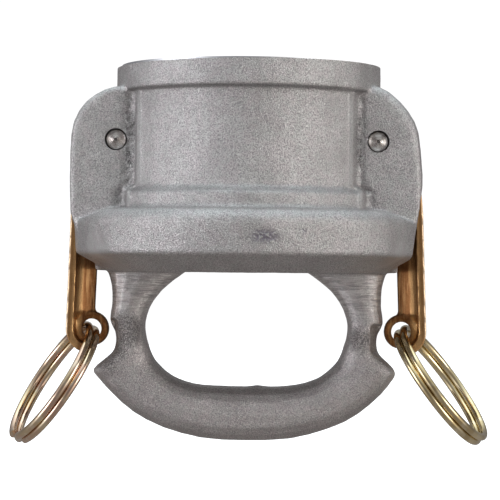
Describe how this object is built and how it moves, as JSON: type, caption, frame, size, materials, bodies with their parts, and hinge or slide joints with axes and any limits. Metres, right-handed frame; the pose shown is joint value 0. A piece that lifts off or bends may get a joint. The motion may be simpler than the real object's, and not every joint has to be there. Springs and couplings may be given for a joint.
{
  "type": "cam and groove cap with loop handle",
  "caption": "Camlock female cap, mouth up, with cast loop handle below, hinged cam arms and finger rings, and a gasket inside.",
  "frame": {"origin": "centre of the machined face of the mouth", "axes": "+Z along the mouth's axis and out of it, X through the two cam arms, -Y to the front"},
  "size_m": [0.1431, 0.1032, 0.1119],
  "materials": {
    "cast_aluminium": "as sand cast, matte and finely pitted, machined at the mouth",
    "cast_bronze": "satin cast bronze, dark in the recesses and rubbed bright on the edges",
    "turned_steel": "turned, with a centre mark in each end",
    "plated_wire": "glossy yellow zinc plating with faint colour tints",
    "rubber": "matte moulded"
  },
  "bodies": {
    "cap": {"cap_body": "cast_aluminium", "gasket": "rubber", "pivot_pin_left": "turned_steel", "pivot_pin_right": "turned_steel"},
    "arm_left": {"cam_arm_left": "cast_bronze"},
    "arm_right": {"cam_arm_right": "cast_bronze"},
    "ring_left": {"finger_ring_left": "plated_wire"},
    "ring_right": {"finger_ring_right": "plated_wire"}
  },
  "joints": [
    {"name": "arm_left_hinge", "type": "hinge", "parent": "cap", "child": "arm_left", "pos_m": [-0.038, 0, -0.0224], "axis": [0, 1, 0], "range_deg": [0, 110]},
    {"name": "arm_right_hinge", "type": "hinge", "parent": "cap", "child": "arm_right", "pos_m": [0.038, 0, -0.0224], "axis": [0, -1, 0], "range_deg": [0, 110]},
    {"name": "ring_left_swing", "type": "hinge", "parent": "arm_left", "child": "ring_left", "pos_m": [-0.0459, 0, -0.0778], "axis": [0, 1, 0], "range_deg": [-44, 95]},
    {"name": "ring_right_swing", "type": "hinge", "parent": "arm_right", "child": "ring_right", "pos_m": [0.0459, 0, -0.0778], "axis": [0, -1, 0], "range_deg": [-47, 92]}
  ]
}
